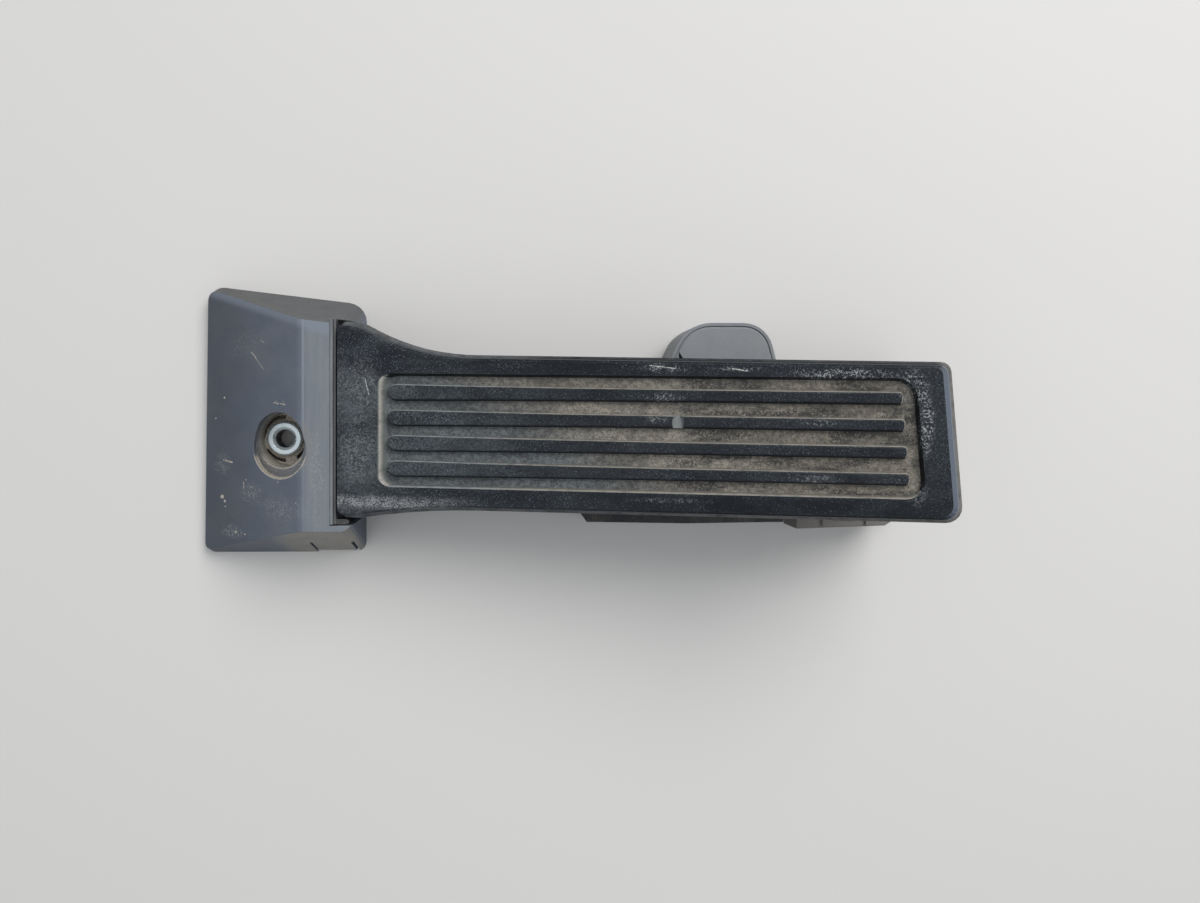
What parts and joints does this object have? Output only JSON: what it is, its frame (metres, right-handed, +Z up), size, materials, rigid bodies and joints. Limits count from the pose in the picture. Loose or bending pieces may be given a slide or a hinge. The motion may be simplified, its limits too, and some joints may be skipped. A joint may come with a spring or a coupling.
{
  "type": "accelerator pedal",
  "caption": "Floor-hinged accelerator pedal module: long ribbed foot pad on a hinged carrier, wedge heel with bolt sleeve, sprung sensor arm and side sensor pod with connector.",
  "frame": {"origin": "on the heel bolt axis at the underside that rests on the vehicle floor", "axes": "+X from heel to toe, +Y towards the sensor pod, +Z up along the heel bolt"},
  "size_m": [0.2696, 0.0969, 0.0738],
  "materials": {
    "housing": "moulded",
    "cover_grey": "moulded, worn",
    "zinc_steel": "zinc plated",
    "seal": "matt",
    "steel": "ground",
    "carrier": "moulded",
    "tread": "worn, dusty",
    "slide_plastic": "natural",
    "arm_plastic": "glass filled",
    "spring_steel": "oiled",
    "lining": "matt",
    "bronze": "sintered",
    "rubber_black": "matt",
    "board": "coated",
    "magnet": "sintered",
    "terminal": "plated"
  },
  "bodies": {
    "base": {"base_housing": "housing", "heel_cover": "cover_grey", "heel_sleeve": "zinc_steel", "hinge_strip": "seal", "hinge_pin": "steel", "spring_retainer": "housing", "return_spring_large": "spring_steel", "return_spring_small": "spring_steel", "bearing_bush_near": "bronze", "bearing_bush_far": "bronze", "mechanism_cover": "housing", "cover_screws": "steel", "bump_stop": "rubber_black", "sensor_board": "board", "sensor_chip": "rubber_black", "sensor_lid": "cover_grey", "connector_shell": "cover_grey", "connector_terminals": "terminal"},
    "pad": {"pad_carrier": "carrier", "pad_tread": "tread", "track_plate": "slide_plastic"},
    "arm": {"pedal_arm": "arm_plastic", "arm_shaft": "steel", "arm_slider": "slide_plastic", "shaft_clip": "spring_steel", "magnet_rotor": "slide_plastic", "rotor_magnet": "magnet"},
    "shoe": {"friction_shoe": "arm_plastic", "friction_linings": "lining"}
  },
  "joints": [
    {"name": "pad_hinge", "type": "hinge", "parent": "base", "child": "pad", "pos_m": [0.0263, 0.0041, 0.0236], "axis": [0, 1, 0], "range_deg": [0, 11.5], "stiffness_Nm_per_rad": 13.5, "springref_deg": -15.3},
    {"name": "arm_hinge", "type": "hinge", "parent": "base", "child": "arm", "pos_m": [0.158, 0.0041, 0.0155], "axis": [0, 1, 0], "range_deg": [0, 42.4]},
    {"name": "shoe_slide", "type": "slide", "parent": "base", "child": "shoe", "axis": [-1, 0, 0], "range_m": [0, 0.0072], "deforming": ["return_spring_large", "return_spring_small"]}
  ],
  "couplings": [
    {"joint": "arm_hinge", "follows": "pad_hinge", "ratio": 3.6732},
    {"joint": "shoe_slide", "follows": "pad_hinge", "m_per_rad": 0.03523}
  ]
}
